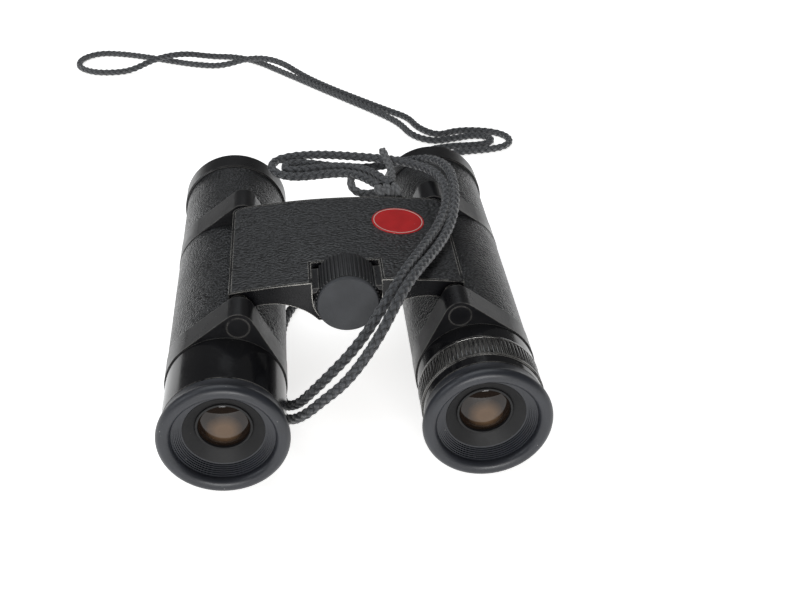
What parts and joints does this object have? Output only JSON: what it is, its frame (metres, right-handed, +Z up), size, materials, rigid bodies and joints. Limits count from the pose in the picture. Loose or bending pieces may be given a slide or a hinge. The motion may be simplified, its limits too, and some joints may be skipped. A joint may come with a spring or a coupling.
{
  "type": "folding pocket binoculars",
  "caption": "Folding roof-prism pocket binoculars on a hinged bridge with a focusing wheel, dioptre ring, sliding eyecups and a tied braided neck cord.",
  "frame": {"origin": "on the ground, midway along the binoculars' length and width, the neck cord left out", "axes": "+X across the barrels towards the dioptre ring's side, +Y from the eyepieces to the objectives, +Z up"},
  "size_m": [0.17, 0.2774, 0.0409],
  "materials": {
    "black_metal": "satin",
    "leather": "pebbled",
    "badge": "gloss",
    "steel": "blackened",
    "aluminium": "blackened",
    "rubber": "matte",
    "wheel_disc": "matte",
    "glass": "coated",
    "gloss_black": "gloss",
    "black_plastic": "satin",
    "nylon": "natural",
    "cord": "braided"
  },
  "bodies": {
    "bridge": {"bridge_body": "black_metal", "bridge_cover": "black_metal", "cover_screws": "steel", "bridge_leather": "leather", "badge": "badge", "strap_eyelet": "steel", "guide_rods": "steel", "left_hinge_washers": "nylon", "right_hinge_washers": "nylon", "neck_cord": "cord", "cord_knot": "cord"},
    "focus_wheel": {"focus_wheel": "rubber", "focus_wheel_cap": "wheel_disc", "focus_spindle": "steel"},
    "focus_yoke": {"focus_yoke": "aluminium"},
    "left_barrel": {"left_barrel_body": "black_metal", "left_barrel_leather": "leather", "left_eye_lens": "glass", "left_eye_lens_ring": "black_plastic", "left_field_cell": "aluminium", "left_field_lens": "glass", "left_front_leather": "leather", "left_hinge_pins": "steel", "left_objective_cell": "aluminium", "left_objective_lens": "glass", "left_objective_ring": "black_metal", "left_ocular_cell": "black_metal", "left_ocular_tube": "gloss_black", "left_pin_cap": "steel", "left_prism_frame": "aluminium", "left_prisms": "glass"},
    "left_focus": {"left_focus_slider": "aluminium", "left_focus_lens": "glass"},
    "left_eyecup": {"left_eyecup": "rubber"},
    "right_barrel": {"right_barrel_body": "black_metal", "right_barrel_leather": "leather", "right_eye_lens": "glass", "right_eye_lens_ring": "black_plastic", "right_front_leather": "leather", "right_hinge_pins": "steel", "right_objective_cell": "aluminium", "right_objective_lens": "glass", "right_objective_ring": "black_metal", "right_ocular_cell": "black_metal", "right_ocular_tube": "gloss_black", "right_pin_cap": "steel", "right_prism_frame": "aluminium", "right_prisms": "glass"},
    "right_focus": {"right_focus_slider": "aluminium", "right_focus_lens": "glass"},
    "right_eyecup": {"right_eyecup": "rubber"},
    "right_diopter_ring": {"right_diopter_ring": "gloss_black"},
    "right_diopter_cell": {"right_field_cell": "aluminium", "right_field_lens": "glass"}
  },
  "joints": [
    {"name": "left_hinge", "type": "hinge", "parent": "bridge", "child": "left_barrel", "pos_m": [-0.025, 0, 0.0308], "axis": [0, 1, 0], "range_deg": [-38, 32], "deforming": ["neck_cord"]},
    {"name": "right_hinge", "type": "hinge", "parent": "bridge", "child": "right_barrel", "pos_m": [0.025, 0, 0.0308], "axis": [0, -1, 0], "range_deg": [-38, 32], "deforming": ["neck_cord"]},
    {"name": "focus_wheel_turn", "type": "hinge", "parent": "bridge", "child": "focus_wheel", "pos_m": [0, -0.0236, 0.0308], "axis": [0, -1, 0], "range_deg": [-270, 270]},
    {"name": "focus_yoke_slide", "type": "slide", "parent": "bridge", "child": "focus_yoke", "axis": [0, 1, 0], "range_m": [-0.0018, 0.0018]},
    {"name": "left_focus_slide", "type": "slide", "parent": "left_barrel", "child": "left_focus", "axis": [0, 1, 0], "range_m": [-0.0018, 0.0018]},
    {"name": "right_focus_slide", "type": "slide", "parent": "right_barrel", "child": "right_focus", "axis": [0, 1, 0], "range_m": [-0.0018, 0.0018]},
    {"name": "left_eyecup_slide", "type": "slide", "parent": "left_barrel", "child": "left_eyecup", "axis": [0, -1, 0], "range_m": [0, 0.005]},
    {"name": "right_eyecup_slide", "type": "slide", "parent": "right_barrel", "child": "right_eyecup", "axis": [0, -1, 0], "range_m": [0, 0.005]},
    {"name": "diopter_ring_turn", "type": "hinge", "parent": "right_barrel", "child": "right_diopter_ring", "pos_m": [0.029, -0.044, 0.0146], "axis": [0, -1, 0], "range_deg": [-45, 45]},
    {"name": "diopter_cell_slide", "type": "slide", "parent": "right_barrel", "child": "right_diopter_cell", "axis": [0, 1, 0], "range_m": [-0.001, 0.001]}
  ],
  "couplings": [
    {"joint": "focus_wheel_turn", "follows": "focus_yoke_slide", "rad_per_m": 2617.9},
    {"joint": "left_focus_slide", "follows": "focus_yoke_slide", "ratio": 1},
    {"joint": "right_focus_slide", "follows": "focus_yoke_slide", "ratio": 1},
    {"joint": "diopter_cell_slide", "follows": "diopter_ring_turn", "m_per_rad": 0.00127}
  ]
}
